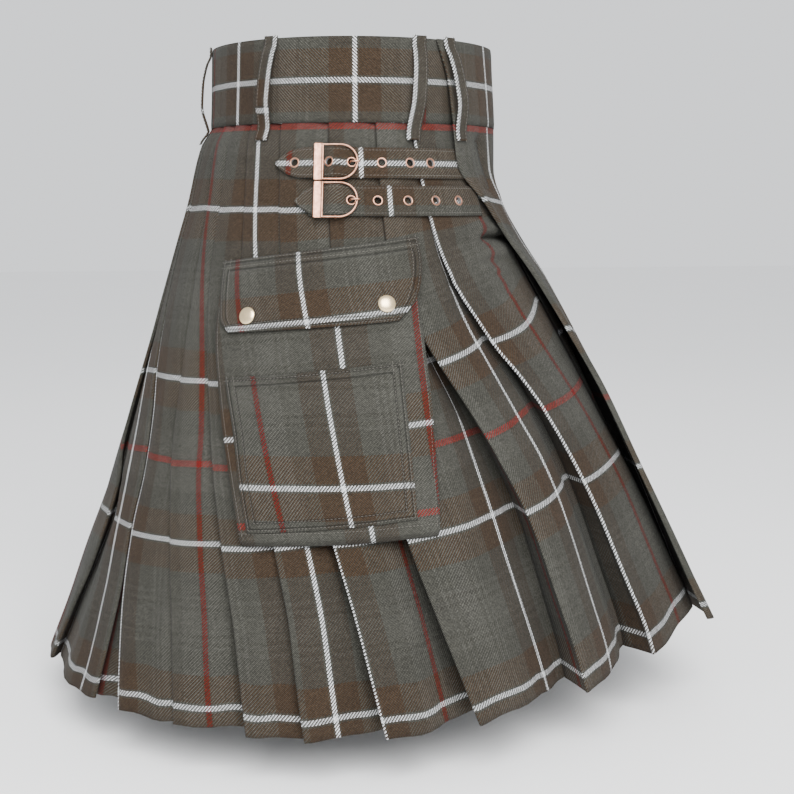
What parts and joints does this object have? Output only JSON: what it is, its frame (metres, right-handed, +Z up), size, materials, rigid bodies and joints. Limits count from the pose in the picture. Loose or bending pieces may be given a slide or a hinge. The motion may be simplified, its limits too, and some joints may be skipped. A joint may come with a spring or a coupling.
{
  "type": "worn utility kilt held at the wearer's waist",
  "caption": "Worn tartan kilt: waistband with belt loops, flat front aprons, knife pleats swinging out to the hem, side straps with buckles, and a flapped cargo pocket.",
  "frame": {"origin": "middle of the wearer's waist, at half the waistband's height", "axes": "+Z up along the wearer's trunk, -Y to the wearer's front, -X to the wearer's right"},
  "size_m": [0.6431, 0.6377, 0.5865],
  "materials": {
    "tartan_cloth": "matt twill, slate grey and brown with white and red lines",
    "copper_finish": "satin copper plating",
    "snap_brass": "satin pale brass"
  },
  "bodies": {
    "root": {"waistband": "tartan_cloth", "over_apron": "tartan_cloth", "under_apron": "tartan_cloth", "pleats": "tartan_cloth", "belt_loop_back": "tartan_cloth", "belt_loop_right_back": "tartan_cloth", "belt_loop_right": "tartan_cloth", "belt_loop_apron_edge": "tartan_cloth", "belt_loop_left_back": "tartan_cloth", "belt_loop_left": "tartan_cloth", "strap_upper": "tartan_cloth", "strap_lower": "tartan_cloth", "buckle_tab_upper": "tartan_cloth", "buckle_tab_lower": "tartan_cloth", "pocket_bag": "tartan_cloth", "pocket_patch": "tartan_cloth", "pocket_flap": "tartan_cloth", "buckle_frame_upper": "copper_finish", "buckle_frame_lower": "copper_finish", "buckle_prong_upper": "copper_finish", "buckle_prong_lower": "copper_finish", "eyelet_upper_1": "copper_finish", "eyelet_upper_2": "copper_finish", "eyelet_upper_3": "copper_finish", "eyelet_upper_4": "copper_finish", "eyelet_upper_5": "copper_finish", "eyelet_upper_6": "copper_finish", "eyelet_lower_1": "copper_finish", "eyelet_lower_2": "copper_finish", "eyelet_lower_3": "copper_finish", "eyelet_lower_4": "copper_finish", "eyelet_lower_5": "copper_finish", "snap_back": "snap_brass", "snap_front": "snap_brass"}
  },
  "joints": []
}
